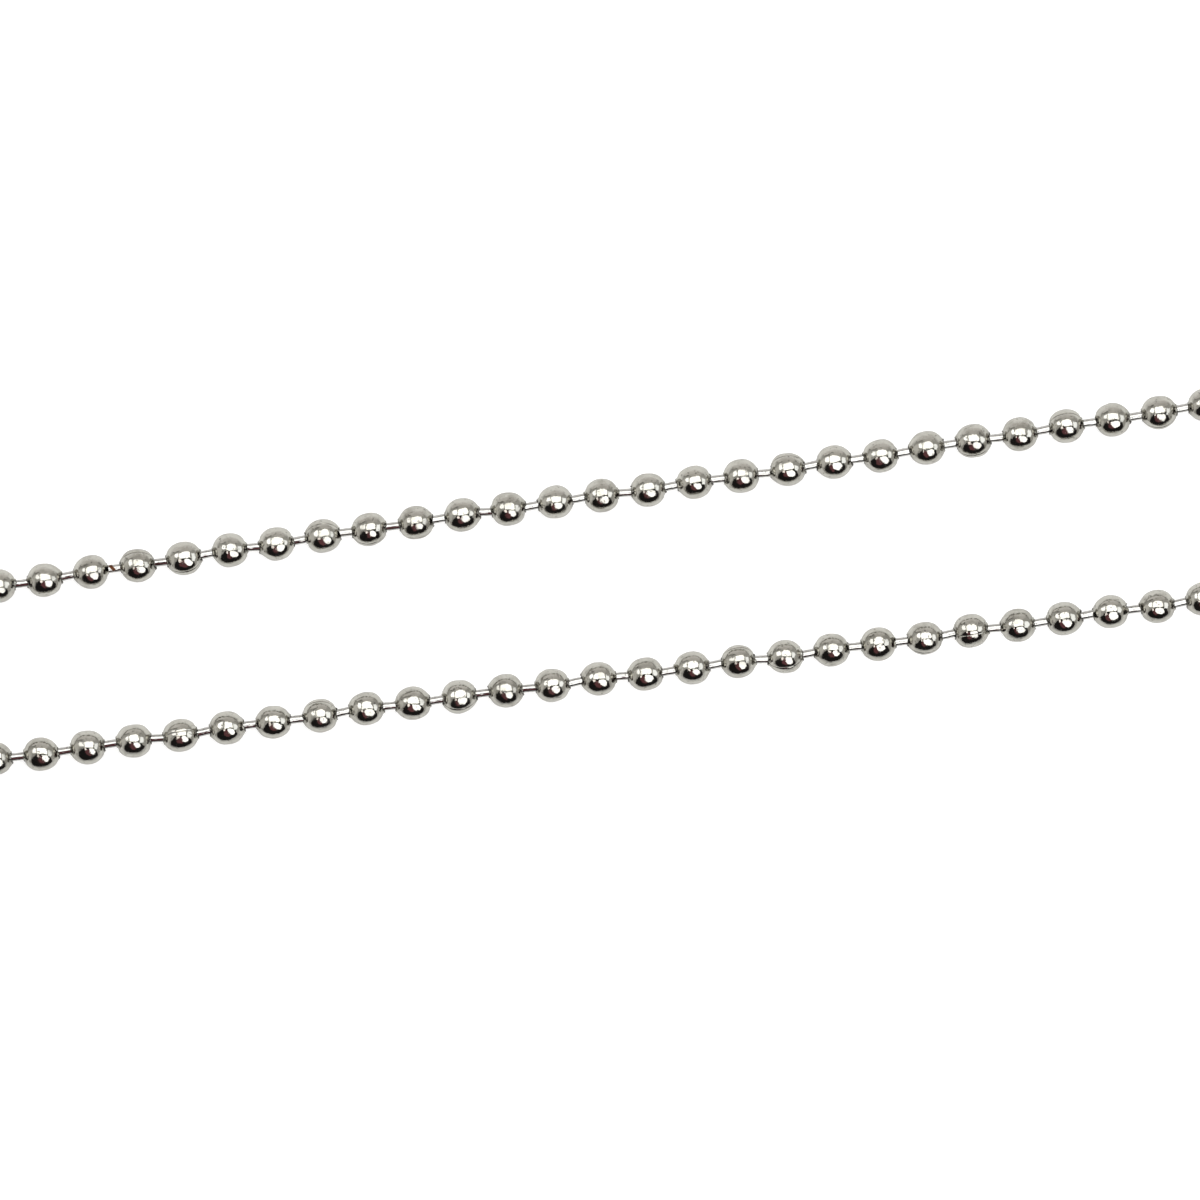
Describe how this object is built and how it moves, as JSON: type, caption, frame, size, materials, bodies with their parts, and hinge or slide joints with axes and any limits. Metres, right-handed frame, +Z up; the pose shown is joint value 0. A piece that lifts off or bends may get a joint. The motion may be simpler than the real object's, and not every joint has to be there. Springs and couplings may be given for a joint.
{
  "type": "ball chain necklace",
  "caption": "Closed necklace of small hollow metal balls joined by short headed rods, with a plain slotted sleeve as its clasp, lying flat in a long narrow loop.",
  "frame": {"origin": "middle of the whole necklace's plan, on the surface that it lies on", "axes": "+X along the loop from its narrow turn to its wide turn where the connector lies, +Y across the loop, +Z up from the surface"},
  "size_m": [0.2078, 0.0514, 0.004],
  "materials": {
    "ball_metal": "bright nickel plate with fine unevenness",
    "rod_metal": "bright nickel plated drawn wire",
    "sleeve_metal": "bright nickel plated pressed sheet"
  },
  "bodies": {
    "root": {"chain_balls": "ball_metal", "chain_rods": "rod_metal", "connector_sleeve": "sleeve_metal"}
  },
  "joints": []
}
